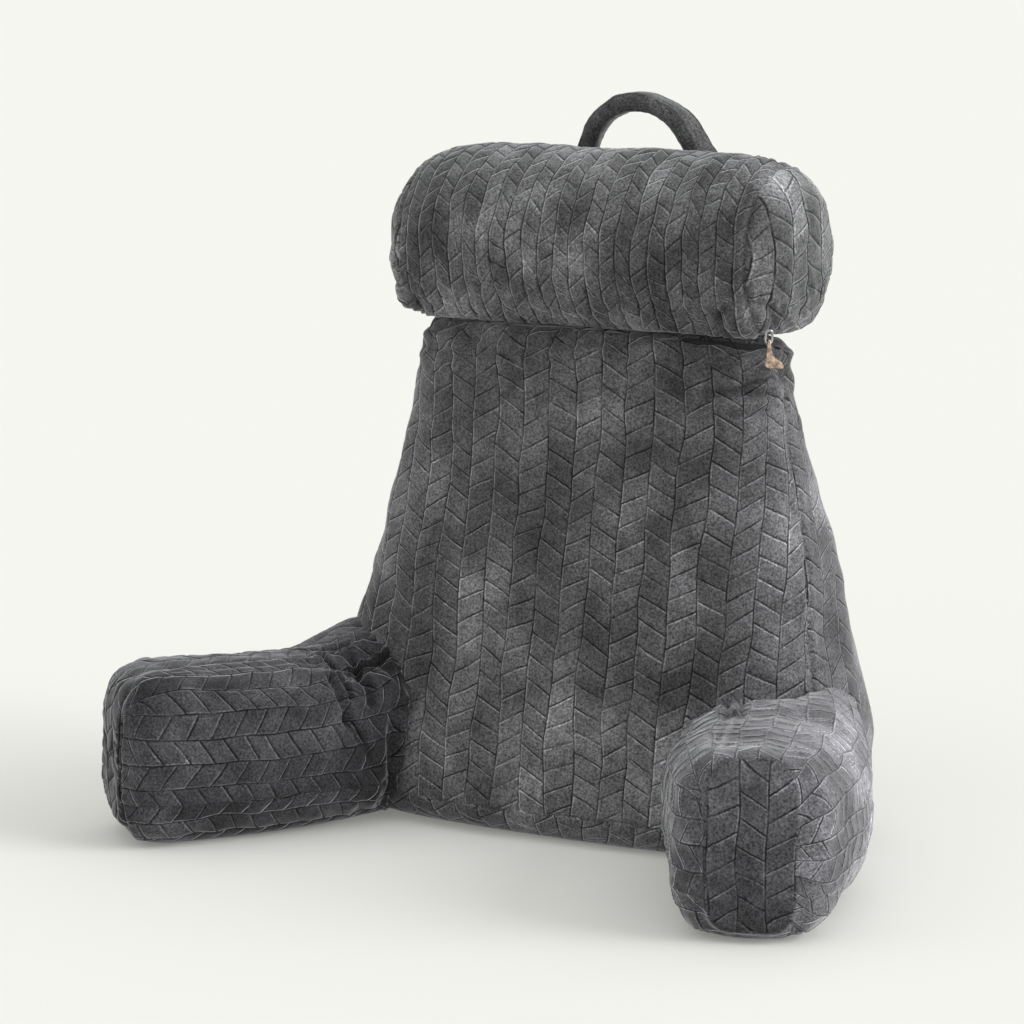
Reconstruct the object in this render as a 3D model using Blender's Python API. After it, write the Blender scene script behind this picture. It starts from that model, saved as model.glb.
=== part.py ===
"""Reading pillow with arms: a tapered filled backrest, two filled arms, a neck roll across the top,
a sewn carry loop behind the roll, and the end of a zip with its tape, stop, slider and pull.

Frame: metres, +Z up, origin on the floor under the middle of the backrest, front towards -Y.
Left and right are as seen from the front.  Every cushion is one filled solid.
"""
import math

import bmesh
import bpy
import numpy as np
from mathutils import Vector
from mathutils.bvhtree import BVHTree

# ---------------------------------------------------------------- driving dimensions (metres)
GAP = 0.0004                       # gap kept between neighbouring pieces
SEAM_DRAW = 0.0025                 # how far a sewn seam draws the cover in

BACK_HEIGHT = 0.506                # backrest, floor to the crease under the roll
BACK_LEVELS = (0.00, 0.10, 0.24, 0.38, BACK_HEIGHT)
BACK_HALF_WIDTHS = (0.284, 0.289, 0.253, 0.220, 0.196)
BACK_FRONT_LOW = -0.157            # front face at the floor
BACK_FRONT_HIGH = -0.067           # front face at the top
BACK_REAR = (0.130, 0.119, 0.066)  # rear face at the floor, at mid height and at the top
BACK_SQUARENESS = 3.0              # superellipse exponent of the plan section
BACK_EDGE = 0.038                  # rounding along the top and bottom edges
BACK_CROWN = 0.004                 # how far the front panel swells at mid height

ROLL_RADIUS = 0.098
ROLL_HALF_LENGTH = 0.230
ROLL_Z = 0.585
ROLL_Y = 0.006
ROLL_SQUARENESS = 6.6              # how flat the ends of the roll are
ROLL_SEAM = 0.197                  # distance of each end seam from the middle

ARM_SQUARENESS = 2.9               # superellipse exponent of the arm's own section
ARM_CAP = 0.068                    # length over which the end panel rounds off
ARM_CAP_SQUARENESS = 3.7
ARM_RISE_STATIONS = (0.0, 0.60, 0.73, 1.0)
ARM_RISES = (0.088, 0.0865, 0.094, 0.110)   # half heights: the arm swells where it joins the backrest
# tip, tip heading away from straight ahead in degrees, distance to the bend, root, half widths
ARM_LEFT = ((0.368, -0.351), 41.0, 0.178, (0.205, -0.022), (0.074, 0.092, 0.068))
ARM_RIGHT = ((0.354, -0.372), 22.0, 0.215, (0.193, 0.045), (0.072, 0.098, 0.058))

STRAP_WIDTH = 0.030
STRAP_SHIFT = -0.010               # the loop stands a little left of the middle
STRAP_THICKNESS = 0.019
STRAP_SEWN_THICKNESS = 0.009
STRAP_HALF_SPAN = 0.064            # half the distance between the legs beside the roll's top
STRAP_TOP = 0.725                  # centre of the strap at the top of the loop
STRAP_FOOT = 0.395                 # lower end of the stretch sewn to the backrest

ZIP_START = (0.140, -0.056)        # plan direction in which the visible tape starts
ZIP_END = (0.190, -0.010)          # and in which it ends
ZIP_TAPE_WIDTH = 0.011
ZIP_TAPE_THICKNESS = 0.0014
SLIDER_WIDTH = 0.009
SLIDER_HEIGHT = 0.015
SLIDER_BAR = 0.0024
PULL_LENGTH = 0.025
PULL_THICKNESS = 0.0016


# ---------------------------------------------------------------- small helpers
def smooth_table(xs, ys, x):
    """Monotone cubic interpolation through the given stations."""
    xs = np.asarray(xs, float)
    ys = np.asarray(ys, float)
    steps = np.diff(xs)
    slopes = np.diff(ys) / steps
    tangents = np.zeros(len(xs))
    tangents[0] = slopes[0]
    tangents[-1] = slopes[-1]
    for i in range(1, len(xs) - 1):
        if slopes[i - 1] * slopes[i] > 0:
            w1 = 2 * steps[i] + steps[i - 1]
            w2 = steps[i] + 2 * steps[i - 1]
            tangents[i] = (w1 + w2) / (w1 / slopes[i - 1] + w2 / slopes[i])
    x = np.clip(np.asarray(x, float), xs[0], xs[-1])
    k = np.clip(np.searchsorted(xs, x, side="right") - 1, 0, len(xs) - 2)
    h = steps[k]
    t = (x - xs[k]) / h
    h00 = (1 + 2 * t) * (1 - t) ** 2
    h10 = t * (1 - t) ** 2
    h01 = t * t * (3 - 2 * t)
    h11 = t * t * (t - 1)
    return h00 * ys[k] + h10 * h * tangents[k] + h01 * ys[k + 1] + h11 * h * tangents[k + 1]


def signed_power(value, exponent):
    return np.sign(value) * np.abs(value) ** exponent


def superellipse(count, squareness, offset=0.0):
    """Unit superellipse outline, counter-clockwise, evenly spaced along its length."""
    fine = np.linspace(0, 2 * math.pi, 4001)
    x = signed_power(np.cos(fine), 2 / squareness)
    y = signed_power(np.sin(fine), 2 / squareness)
    length = np.concatenate([[0.0], np.cumsum(np.hypot(np.diff(x), np.diff(y)))])
    wanted = (np.arange(count) + offset) / count * length[-1]
    return np.interp(wanted, length, x), np.interp(wanted, length, y)


def loft_mesh(rings, start_cap=True, end_cap=True):
    """Bridge closed rings of equal count and close both ends with a fan to a middle vertex."""
    mesh = bmesh.new()
    rows = [[mesh.verts.new(Vector(point)) for point in ring] for ring in rings]
    count = len(rows[0])
    for lower, upper in zip(rows, rows[1:]):
        for i in range(count):
            j = (i + 1) % count
            mesh.faces.new((lower[i], lower[j], upper[j], upper[i]))
    for row, wanted in ((rows[0], start_cap), (rows[-1], end_cap)):
        if wanted:
            middle = mesh.verts.new(sum((v.co for v in row), Vector()) / count)
            for i in range(count):
                mesh.faces.new((row[i], row[(i + 1) % count], middle))
    bmesh.ops.recalc_face_normals(mesh, faces=mesh.faces)
    return mesh


def make_object(name, mesh, material):
    data = bpy.data.meshes.new(name)
    mesh.to_mesh(data)
    mesh.free()
    data.materials.append(material)
    data.shade_smooth()
    data.set_sharp_from_angle(angle=math.radians(50))
    item = bpy.data.objects.new(name, data)
    bpy.context.collection.objects.link(item)
    return item


def make_material(name, colour, roughness, metallic=0.0):
    material = bpy.data.materials.new(name)
    material.use_nodes = True
    shader = material.node_tree.nodes["Principled BSDF"]
    shader.inputs["Base Color"].default_value = (*colour, 1.0)
    shader.inputs["Roughness"].default_value = roughness
    shader.inputs["Metallic"].default_value = metallic
    material.diffuse_color = (*colour, 1.0)
    return material


def grown_tree(item, distance):
    """Search tree over an object's surface pushed outwards by a small distance."""
    mesh = bmesh.new()
    mesh.from_mesh(item.data)
    mesh.normal_update()
    for vertex in mesh.verts:
        vertex.co += vertex.normal * distance
    tree = BVHTree.FromBMesh(mesh)
    mesh.free()
    return tree


# ---------------------------------------------------------------- backrest
def backrest_section(z):
    """Half width, front and rear of the plan section at height z."""
    level = np.clip(z / BACK_HEIGHT, 0, 1)
    half = smooth_table(BACK_LEVELS, BACK_HALF_WIDTHS, z)
    front = BACK_FRONT_LOW + (BACK_FRONT_HIGH - BACK_FRONT_LOW) * level
    front = front - BACK_CROWN * np.sin(math.pi * level)
    rear = smooth_table((0.0, 0.24, BACK_HEIGHT), BACK_REAR, z)
    return half, front, rear


def backrest_ring(z, inset, count, shrink=1.0, seam=0.0):
    half, front, rear = backrest_section(z)
    cx, cy = superellipse(count, BACK_SQUARENESS)
    depth = (rear - front) / 2 - inset
    middle = (rear + front) / 2
    seams = (np.argmin(np.hypot(cx - 0.86, cy + 0.74)), np.argmin(np.hypot(cx + 0.86, cy + 0.74)))
    draw = np.zeros(count)
    draw[list(seams)] = seam
    x = (half - inset) * cx * shrink - draw * np.sign(cx)
    y = middle + depth * cy * shrink - draw * np.sign(cy)
    return [(px, py, z) for px, py in zip(x, y)]


def build_backrest(material):
    count = 56
    rings = [backrest_ring(0.0, BACK_EDGE, count, 0.5)]
    for step in range(6):
        angle = math.radians(90 * step / 5)
        inset = BACK_EDGE * (1 - math.sin(angle))
        rings.append(backrest_ring(BACK_EDGE * (1 - math.cos(angle)), inset, count))
    for z in np.linspace(BACK_EDGE, BACK_HEIGHT - BACK_EDGE, 12)[1:-1]:
        rings.append(backrest_ring(float(z), 0.0, count, seam=SEAM_DRAW))
    for step in range(6):
        angle = math.radians(90 * step / 5)
        inset = BACK_EDGE * (1 - math.cos(angle))
        rings.append(backrest_ring(BACK_HEIGHT - BACK_EDGE * (1 - math.sin(angle)), inset, count))
    rings.append(backrest_ring(BACK_HEIGHT, BACK_EDGE, count, 0.5))
    return make_object("backrest", loft_mesh(rings), material)


# ---------------------------------------------------------------- arms
def arm_frames(side, shape, count):
    """Points, headings and half sizes along the arm from its end panel to its root."""
    tip, tip_heading, bend_distance, root, widths = shape
    heading = math.radians(tip_heading)
    tip = np.array(tip)
    root = np.array(root)
    bend = tip - bend_distance * np.array([math.sin(heading), -math.cos(heading)])
    t = np.linspace(0, 1, count) ** 1.4
    points = (((1 - t) ** 2)[:, None] * tip + (2 * t * (1 - t))[:, None] * bend
              + (t ** 2)[:, None] * root)
    along = (2 * (1 - t))[:, None] * (bend - tip) + (2 * t)[:, None] * (root - bend)
    along /= np.linalg.norm(along, axis=1)[:, None]
    run = np.concatenate([[0.0], np.cumsum(np.linalg.norm(np.diff(points, axis=0), axis=1))])
    part = run / run[-1]
    cap = np.clip(run / ARM_CAP, 0, 1)
    scale = (1 - (1 - cap) ** ARM_CAP_SQUARENESS) ** (1 / ARM_CAP_SQUARENESS)
    width = smooth_table((0.0, 0.45, 1.0), widths, part) * scale
    rise = smooth_table(ARM_RISE_STATIONS, ARM_RISES, part)
    points[:, 0] *= side
    along[:, 0] *= side
    return points, along, width, rise * scale, rise


def build_arm(name, side, shape, material):
    points, along, width, height, rise = arm_frames(side, shape, 20)
    cx, cz = superellipse(34, ARM_SQUARENESS)
    rings = []
    for k in range(1, len(points)):
        across = np.array([-along[k][1], along[k][0]])
        ring = []
        for u, v in zip(cx, cz):
            x, y = points[k] + across * width[k] * u
            ring.append((x, y, max(0.0, rise[k] - 0.003 + height[k] * v)))
        rings.append(ring)
    return make_object(name, loft_mesh(rings), material)


def cut_by_grown(item, neighbour, distance):
    """Cut an object where a slightly larger copy of its neighbour stands."""
    cutter = neighbour.copy()
    cutter.data = neighbour.data.copy()
    cutter.name = "cutter_" + item.name
    bpy.context.collection.objects.link(cutter)
    mesh = bmesh.new()
    mesh.from_mesh(cutter.data)
    mesh.normal_update()
    for vertex in mesh.verts:
        vertex.co += vertex.normal * distance
    mesh.to_mesh(cutter.data)
    mesh.free()
    cutter.hide_render = True
    cutter.display_type = "WIRE"
    cut = item.modifiers.new("fit_to_" + neighbour.name, "BOOLEAN")
    cut.operation = "DIFFERENCE"
    cut.solver = "EXACT"
    cut.object = cutter


# ---------------------------------------------------------------- neck roll
def roll_radius(x):
    return ROLL_RADIUS * (1 - abs(x / ROLL_HALF_LENGTH) ** ROLL_SQUARENESS) ** (2 / ROLL_SQUARENESS)


def build_roll(material):
    """Rings along X, with one ring at each end seam drawn in, sitting flat on the backrest."""
    count = 40
    side = [ROLL_HALF_LENGTH * math.sin(math.radians(a)) for a in (3, 12, 22, 32, 42, 50)]
    side += [ROLL_SEAM - 0.008, ROLL_SEAM, ROLL_SEAM + 0.008]
    side += [ROLL_HALF_LENGTH * math.sin(math.radians(a)) for a in (67.5, 73, 78, 83)]
    stations = [-x for x in reversed(side)] + side
    rings = []
    for x in stations:
        radius = roll_radius(x)
        if abs(abs(x) - ROLL_SEAM) < 1e-6:
            radius -= SEAM_DRAW
        ring = []
        for i in range(count):
            angle = 2 * math.pi * i / count
            z = ROLL_Z + radius * math.sin(angle)
            y = ROLL_Y + radius * math.cos(angle)
            ring.append((x, y, max(z, BACK_HEIGHT + GAP)))
        rings.append(ring)
    return make_object("neck_roll", loft_mesh(rings), material)


# ---------------------------------------------------------------- carry handle
def rear_of(tree, x, z):
    """Y of the rear surface at (x, z)."""
    hit = tree.ray_cast(Vector((x, 1.0, z)), Vector((0, -1, 0)))[0]
    return hit.y


def smooth_path(stations, count):
    """Smooth curve through rows of values, sampled evenly in the first column's parameter."""
    table = np.array(stations, float)
    wanted = np.linspace(table[0, 0], table[-1, 0], count)
    columns = [smooth_table(table[:, 0], table[:, k], wanted) for k in range(1, table.shape[1])]
    return np.array(columns).T


def build_handle(back_tree, material):
    """Padded strap: each foot lies flat on the rear of the backrest, and the loop stands above."""
    half = STRAP_WIDTH / 2
    sewn = STRAP_SEWN_THICKNESS

    def foot_y(z):
        near = max(rear_of(back_tree, side * 0.066 + STRAP_SHIFT + dx, z)
                   for side in (-1, 1) for dx in (-half, 0.0, half))
        return near + sewn / 2 + GAP + 0.0004

    roll_rear = ROLL_Y + ROLL_RADIUS + GAP
    # parameter, x, y, z, twist in degrees, thickness
    stations = [
        (0.00, 0.066, foot_y(STRAP_FOOT), STRAP_FOOT, 0, sewn),
        (0.09, 0.066, foot_y(STRAP_FOOT + 0.022), STRAP_FOOT + 0.022, 0, sewn),
        (0.18, 0.066, foot_y(STRAP_FOOT + 0.044) + 0.0006, STRAP_FOOT + 0.044, 0, sewn),
        (0.34, 0.066, foot_y(STRAP_FOOT + 0.066) + 0.012, STRAP_FOOT + 0.088, 5, 0.012),
        (0.52, 0.066, roll_rear + 0.0120, 0.545, 25, 0.015),
        (0.70, 0.065, roll_rear + 0.0160, 0.600, 60, 0.018),
        (0.90, STRAP_HALF_SPAN + 0.001, roll_rear + 0.0080, 0.645, 86, STRAP_THICKNESS),
    ]
    arch = STRAP_TOP - 0.662
    for step in range(1, 8):
        angle = math.radians(90 * step / 7)
        lean = roll_rear - 0.001 - 0.012 * math.sin(angle)
        stations.append((0.90 + 0.058 * step, STRAP_HALF_SPAN * math.cos(angle), lean,
                         0.662 + arch * math.sin(angle), 90, STRAP_THICKNESS))
    half_path = smooth_path(stations, 24)
    far = half_path[:-1][::-1].copy()
    far[:, 0] *= -1
    far[:, 3] = 180 - far[:, 3]
    path = np.concatenate([half_path, far])
    cu, cv = superellipse(14, 3.0)
    rings = []
    for k, (x, y, z, twist, thick) in enumerate(path):
        before = path[max(0, k - 1), :3]
        after = path[min(len(path) - 1, k + 1), :3]
        way = Vector(after - before).normalized()
        outward = Vector((0, 1, 0))
        outward = (outward - way * outward.dot(way)).normalized()
        sideways = way.cross(outward)
        turn = math.radians(twist)
        wide = sideways * math.cos(turn) + outward * math.sin(turn)
        thin = outward * math.cos(turn) - sideways * math.sin(turn)
        centre = Vector((x + STRAP_SHIFT, y, z))
        rings.append([centre + wide * (half * u) + thin * (thick / 2 * v) for u, v in zip(cu, cv)])
    return make_object("carry_handle", loft_mesh(rings), material)


# ---------------------------------------------------------------- zip
def on_backrest(tree, x, y, z):
    """Surface point and outward normal of the backrest in the plan direction (x, y) at height z."""
    way = Vector((x, y, 0)).normalized()
    hit, normal, _, _ = tree.ray_cast(Vector((way.x, way.y, z)), -way)
    return hit, normal


def build_zip_tape(back_tree, material):
    """Strip of tape with its coil, lying on the upper edge of the backrest under the roll."""
    half_width = ZIP_TAPE_WIDTH / 2
    half_thick = ZIP_TAPE_THICKNESS / 2
    outline = [(-1, -1), (-0.5, -1), (0, -1), (0.5, -1), (1, -1), (1, 1), (0.35, 1.0),
               (0.22, 2.6), (-0.22, 2.6), (-0.35, 1.0), (-1, 1)]
    rings = []
    count = 13
    for k in range(count):
        part = k / (count - 1)
        x = ZIP_START[0] + (ZIP_END[0] - ZIP_START[0]) * part
        y = ZIP_START[1] + (ZIP_END[1] - ZIP_START[1]) * part
        z = BACK_HEIGHT - 0.0080 - 0.0070 * part
        hit, normal = on_backrest(back_tree, x, y, z)
        up = (Vector((0, 0, 1)) - normal * normal.z).normalized()
        centre = hit + normal * (half_thick + GAP + 0.0009)
        rings.append([centre + up * (half_width * u) + normal * (half_thick * v) for u, v in outline])
    return make_object("zip_tape", loft_mesh(rings), material)


def build_zip_stop(back_tree, material):
    """Small metal stop clamped over the end of the coil."""
    x, y = ZIP_END
    hit, normal = on_backrest(back_tree, x, y - 0.004, BACK_HEIGHT - 0.015)
    up = (Vector((0, 0, 1)) - normal * normal.z).normalized()
    wide = up.cross(normal).normalized()
    centre = hit + normal * (ZIP_TAPE_THICKNESS * 1.8 + GAP * 2 + 0.0009 + 0.0013)
    cu, cv = superellipse(16, 4.0)
    rings = []
    for part in (-1.0, -0.8, 0.8, 1.0):
        size = 1.0 if abs(part) < 0.9 else 0.78
        ring = [centre + normal * (0.0012 * part) + wide * (0.0026 * size * u) + up * (0.006 * size * v)
                for u, v in zip(cu, cv)]
        rings.append(ring)
    return make_object("zip_stop", loft_mesh(rings), material)


def zip_axes():
    """Centre, width axis, height axis and outward axis shared by the slider and its pull."""
    out = Vector((0.62, -0.77, -0.15)).normalized()
    wide = Vector((0, 0, 1)).cross(out).normalized()
    tall = out.cross(wide).normalized()
    centre = Vector((0.206, -0.043, BACK_HEIGHT + 0.003))
    return centre, wide, tall, out


def build_zip_slider(material):
    """Slotted slider body hanging from the lower end of the roll's end seam."""
    centre, wide, tall, out = zip_axes()
    half_bar = SLIDER_BAR / 2
    loop_u, loop_v = superellipse(28, 3.4)
    cu, cv = superellipse(10, 3.4)
    half_width = SLIDER_WIDTH / 2 - half_bar
    half_height = SLIDER_HEIGHT / 2 - half_bar
    mesh = bmesh.new()
    rows = []
    count = len(loop_u)
    for k in range(count):
        place = wide * (half_width * loop_u[k]) + tall * (half_height * loop_v[k])
        slope = (wide * (half_width * (loop_u[(k + 1) % count] - loop_u[k - 1]))
                 + tall * (half_height * (loop_v[(k + 1) % count] - loop_v[k - 1])))
        away = slope.normalized().cross(out)
        ring = [centre + place + away * (half_bar * u) + out * (half_bar * 1.1 * v) for u, v in zip(cu, cv)]
        rows.append([mesh.verts.new(point) for point in ring])
    for k in range(count):
        after = rows[(k + 1) % count]
        for i in range(len(cu)):
            j = (i + 1) % len(cu)
            mesh.faces.new((rows[k][i], rows[k][j], after[j], after[i]))
    bmesh.ops.recalc_face_normals(mesh, faces=mesh.faces)
    return make_object("zip_slider", mesh, material)


def build_zip_pull(material):
    """Flat tag: its neck hooks through the slider's slot and its foot widens to one side."""
    centre, wide, tall, out = zip_axes()
    bar = centre - tall * (SLIDER_HEIGHT / 2 - SLIDER_BAR / 2)
    reach = SLIDER_BAR / 2 * 1.1 + GAP * 1.5 + PULL_THICKNESS / 2
    path = []
    for step in range(9):                      # hook over the lower bar, from behind to the front
        angle = math.radians(200 - 190 * step / 8)
        path.append((out * (reach * math.cos(angle)) + tall * (reach * 1.15 * math.sin(angle)), 0.0015, 0.0))
    # distance down the tag, half width, sideways shift of the middle
    for down, half, shift in ((0.004, 0.0020, 0.0), (0.008, 0.0026, 0.0005), (0.012, 0.0034, 0.0012),
                              (0.015, 0.0048, 0.0022), (0.0175, 0.0075, 0.0040), (0.020, 0.0092, 0.0052),
                              (0.0225, 0.0090, 0.0062), (0.0243, 0.0080, 0.0072), (0.025, 0.0068, 0.0080)):
        fall = down * PULL_LENGTH / 0.025
        path.append((out * (reach + 0.0006) - tall * fall + wide * shift, half, shift))
    cu, cv = superellipse(12, 4.0)
    rings = []
    for k, (place, half, _) in enumerate(path):
        before = path[max(0, k - 1)][0]
        after = path[min(len(path) - 1, k + 1)][0]
        way = (after - before)
        way = (way - wide * way.dot(wide)).normalized()
        thin = way.cross(wide).normalized()
        thick = PULL_THICKNESS / 2 * (0.6 if k in (0, len(path) - 1) else 1.0)
        rings.append([bar + place + wide * (half * u) + thin * (thick * v) for u, v in zip(cu, cv)])
    return make_object("zip_pull", loft_mesh(rings), material)


# ---------------------------------------------------------------- assembly
def main():
    for old in list(bpy.data.objects):
        bpy.data.objects.remove(old, do_unlink=True)

    back = build_backrest(make_material("velvet_backrest", (0.091, 0.091, 0.093), 0.9))
    velvet_left = make_material("velvet_arm_left", (0.071, 0.070, 0.076), 0.9)
    velvet_right = make_material("velvet_arm_right", (0.120, 0.120, 0.125), 0.88)
    for arm in (build_arm("arm_left", -1, ARM_LEFT, velvet_left),
                build_arm("arm_right", 1, ARM_RIGHT, velvet_right)):
        cut_by_grown(arm, back, GAP)
    build_roll(make_material("velvet_roll", (0.091, 0.091, 0.092), 0.9))
    tree = grown_tree(back, 0.0)
    build_handle(tree, make_material("velvet_handle", (0.080, 0.080, 0.082), 0.9))
    build_zip_tape(tree, make_material("zip_tape_cloth", (0.030, 0.030, 0.032), 0.85))
    build_zip_stop(tree, make_material("zip_stop_metal", (0.62, 0.63, 0.62), 0.4, 0.8))
    build_zip_slider(make_material("zip_slider_metal", (0.60, 0.60, 0.61), 0.35, 1.0))
    build_zip_pull(make_material("zip_pull_metal", (0.75, 0.52, 0.36), 0.4, 0.7))


main()
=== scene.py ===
"""Visual model of the reading pillow with arms.

Each cushion is a fine grid on the same shape as its CAD solid.  Fabric coordinates, counted in
columns and pitches of the embossed chevron, are worked out panel by panel; they drive both the
relief of the mesh and the grooves and nap of the velvet.  A value stored at each point lightens or
darkens the velvet's colour there: partly random lightness of the nap, partly painted shade in
seams, folds, hollows and joints, and painted light on sides, tops and other parts where light falls.
"""
import math
from dataclasses import dataclass

import bpy
import numpy as np
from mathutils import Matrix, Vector
from mathutils.bvhtree import BVHTree


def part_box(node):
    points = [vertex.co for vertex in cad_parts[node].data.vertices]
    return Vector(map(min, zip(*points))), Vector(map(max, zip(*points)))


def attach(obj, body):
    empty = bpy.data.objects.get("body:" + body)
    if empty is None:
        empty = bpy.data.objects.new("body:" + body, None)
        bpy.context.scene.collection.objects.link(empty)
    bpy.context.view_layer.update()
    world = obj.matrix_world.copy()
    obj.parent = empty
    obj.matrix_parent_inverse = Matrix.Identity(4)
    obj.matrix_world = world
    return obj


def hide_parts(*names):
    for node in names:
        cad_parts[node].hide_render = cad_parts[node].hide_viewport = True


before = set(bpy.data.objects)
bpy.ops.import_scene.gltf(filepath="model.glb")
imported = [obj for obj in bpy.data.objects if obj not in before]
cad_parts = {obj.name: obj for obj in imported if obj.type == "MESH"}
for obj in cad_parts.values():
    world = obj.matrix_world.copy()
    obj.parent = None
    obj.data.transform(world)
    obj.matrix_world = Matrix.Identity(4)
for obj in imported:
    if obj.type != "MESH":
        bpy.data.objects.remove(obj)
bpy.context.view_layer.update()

# ---- shape of the CAD solids (metres)
BACK_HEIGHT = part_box("backrest")[1][2]
BACK_LEVELS = (0.00, 0.10, 0.24, 0.38, BACK_HEIGHT)
BACK_HALF_WIDTHS = (0.284, 0.289, 0.253, 0.220, 0.196)
BACK_FRONT_LOW = -0.157
BACK_FRONT_HIGH = -0.067
BACK_REAR = (0.130, 0.119, 0.066)
BACK_SQUARENESS = 3.0
BACK_EDGE = 0.038  # rounding of the lower edge
BACK_TOP_EDGE = 0.024  # the cover is fuller at the top than the filling
BACK_CROWN = 0.004
FRONT_SEAM_LEVELS = (0.0, 0.12, 0.24, 0.34, 0.445, BACK_HEIGHT)
FRONT_SEAM = (0.300, 0.292, 0.283, 0.267, 0.250, 0.232)  # from the front middle, round the cover
REAR_SEAM = 0.90  # from the rear middle, in half widths
BOTTOM_SEAM = 0.030

ROLL_RADIUS = 0.098
ROLL_HALF_LENGTH = 0.230
ROLL_Z = 0.585
ROLL_Y = 0.006
ROLL_SQUARENESS = 6.6
ROLL_SEAM = 0.197

# each arm: tip, heading of the tip in degrees, distance to the bend, root, and half widths
ARM_LEFT = ((0.368, -0.351), 41.0, 0.178, (0.205, -0.022), (0.074, 0.092, 0.068))
ARM_RIGHT = ((0.354, -0.372), 22.0, 0.215, (0.193, 0.045), (0.072, 0.098, 0.058))
ARM_SQUARENESS = 2.9
ARM_CAP = 0.068  # length of the rounded end
ARM_CAP_SQUARENESS = 3.7
ARM_CAP_SIZE = 0.085  # mean half size of its rings
ARM_RISE_STATIONS = (0.0, 0.60, 0.73, 1.0)
ARM_RISES = (0.088, 0.0865, 0.094, 0.110)
END_PANEL = (0.041, 0.077)  # half width and half height of an arm's end panel
END_SQUARENESS = 4.5
ARM_LOW_SEAM = 0.046  # height of the seam along the foot of an arm

STRAP_WIDTH = 0.030
STRAP_THICKNESS = 0.019
STRAP_SEWN_THICKNESS = 0.009
STRAP_HALF_SPAN = 0.064
STRAP_LEG = 0.066  # half distance between the legs where they are sewn down
STRAP_SHIFT = -0.010
STRAP_TOP = 0.725
STRAP_SPRING = 0.662  # height at which the arch springs
STRAP_FLARE = 0.655  # height at which the legs spread over the roll
STRAP_FOOT = 0.395

ZIP_START = (0.140, -0.056)  # plan direction in which the visible tape starts
ZIP_END = (0.190, -0.010)  # and in which it ends
ZIP_TAPE_WIDTH = 0.011
ZIP_TAPE_THICKNESS = 0.0012
TOOTH_STEP = 0.0013
TOOTH_TURNS = 8  # points round a tooth
TOOTH_RINGS = 7

# ---- folds (metres)
# each fold: start and end of its valley, depth and width
BACK_CREASES = (
    ((0.150, -0.072, 0.452), (0.205, -0.024, 0.450), 0.0050, 0.0045),
    ((0.175, -0.062, 0.430), (0.215, -0.020, 0.440), 0.0030, 0.0045),
    ((0.205, -0.010, 0.475), (0.200, 0.020, 0.450), 0.0030, 0.0050),
    ((0.095, -0.078, 0.480), (0.125, -0.070, 0.450), 0.0022, 0.0060),
    ((-0.195, -0.050, 0.480), (-0.150, -0.068, 0.474), 0.0028, 0.0060),
    ((-0.080, -0.076, 0.492), (-0.060, -0.080, 0.455), 0.0020, 0.0070),
)
LEFT_CREASES = (
    ((-0.235, -0.170, 0.172), (-0.180, -0.200, 0.135), 0.0060, 0.0036),
    ((-0.215, -0.150, 0.178), (-0.168, -0.178, 0.128), 0.0060, 0.0045),
    ((-0.205, -0.205, 0.150), (-0.182, -0.210, 0.110), 0.0042, 0.0040),
    ((-0.182, -0.210, 0.115), (-0.165, -0.190, 0.080), 0.0035, 0.0048),
    ((-0.265, -0.165, 0.174), (-0.225, -0.140, 0.180), 0.0035, 0.0036),
)
LEFT_HOLLOW = ((-0.186, -0.160, 0.174), 0.034, 0.020)  # centre, radius and depth
RIGHT_CREASES = (
    ((0.205, -0.120, 0.190), (0.254, -0.204, 0.170), 0.0058, 0.0032),
    ((0.190, -0.165, 0.140), (0.215, -0.205, 0.110), 0.0022, 0.0050),
)
RIGHT_HOLLOW = ((0.170, -0.150, 0.120), 0.030, 0.004)
# the fold that hangs over below the zip: the line along its middle, radius and swell
BACK_FOLD = ((0.158, -0.066, 0.467), (0.202, -0.022, 0.484), 0.0140, 0.0100)
# where the gathered lower ends of the roll's seams hang over: centre, radius and swell
ROLL_LOBES = (
    ((0.190, -0.060, 0.5235), 0.0236, 0.0150),
    ((-0.202, -0.054, 0.527), 0.0180, 0.0070),
)

# ---- fabric (metres)
PANEL_COLUMN = 0.0293  # chevron on the backrest panels
PANEL_PITCH = 0.0224
ROLL_COLUMN = 0.0176  # gathered round the roll
ROLL_PITCH = 0.0228
DISC_COLUMN = 0.0280  # on the roll's ends
ARM_COLUMN = 0.0250
ARM_PITCH = 0.0215
END_COLUMN = 0.0265  # on the arms' end panels
END_PITCH = 0.0240
LEAN = 0.66  # climb of a slanted groove across one column, in pitches
RELIEF = 0.0009
GROOVE = 0.0016
SEAM_BARE = 0.004  # reach beside a seam without relief
SEAM_SHADE = 0.0016  # width of the painted shade down in a seam
FOOT_FADE = 0.012  # height over which relief fades in above the floor
FINE = 0.0020  # mesh spacing where the fabric is seen
BACK_FINE = (0.0022, 0.0024)  # the same on the backrest, across and up
BACK_FINE_REACH = 0.335  # as far from the front middle, round the cover
ZIP_FINE = 0.0012  # and up over the rounded top, where the zip is
COARSE = 0.0080

# ---- camera and stage
VIEW_TURN, VIEW_RISE = 30.12, 9.57  # degrees
VIEW_DISTANCE = 3.603
VIEW_LEFT, VIEW_HEIGHT = 0.0934, 0.3123  # the point that the camera aims at
VIEW_LENS = 123.98
FLOOR_LEVEL = -0.0006
FLOOR_HALF = 90.0
WALL_SIDES, WALL_REACH, WALL_HEIGHT = 96, 44.0, 26.4
# each light: name, direction that it comes from, power and spread in degrees
LIGHTS = (
    ("key", (0.88, 0.22, 0.42), 2.3, 40),
    ("top", (0.15, 0.20, 0.97), 0.75, 80),
    ("front_fill", (-0.30, -0.80, 0.52), 0.42, 80),
)


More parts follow.
